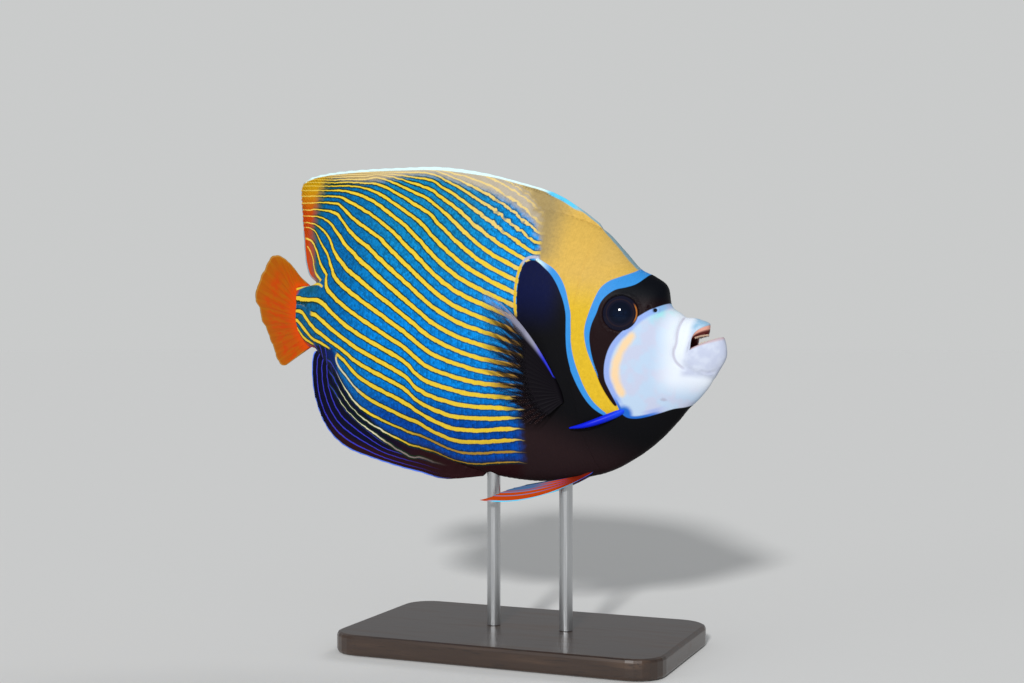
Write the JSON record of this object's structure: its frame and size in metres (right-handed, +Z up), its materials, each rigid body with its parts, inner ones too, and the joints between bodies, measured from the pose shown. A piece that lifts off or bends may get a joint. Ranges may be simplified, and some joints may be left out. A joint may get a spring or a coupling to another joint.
{
  "type": "emperor angelfish display model",
  "caption": "Still, life-size emperor angelfish with striped flanks and masked face, held over a flat wooden base by slim steel rods.",
  "frame": {"origin": "centre of the stand base's underside", "axes": "+Z up; +X towards the fish's head; -Y is the fish's right side, which the picture shows"},
  "size_m": [0.3301, 0.12, 0.2895],
  "materials": {
    "fish_skin": "painted fish skin with a soft wet gloss: blue with fine yellow stripes, yellow nape, dark mask, pale face",
    "fin_membrane": "thin, slightly glossy fin membrane over fine rays",
    "eye": "polished dark glass eye",
    "stand_wood": "dark stained wood, satin lacquer",
    "stand_steel": "brushed along the rod"
  },
  "bodies": {
    "root": {"head": "fish_skin", "lower_jaw": "fish_skin", "eye_left": "eye", "eye_right": "eye", "trunk": "fish_skin", "tail": "fish_skin", "dorsal_fin": "fish_skin", "anal_fin": "fish_skin", "caudal_fin": "fin_membrane", "pectoral_fin_left": "fin_membrane", "pectoral_fin_right": "fin_membrane", "pelvic_fin_left": "fin_membrane", "pelvic_fin_right": "fin_membrane", "stand_base": "stand_wood", "stand_rod_front": "stand_steel", "stand_rod_rear": "stand_steel"}
  },
  "joints": []
}
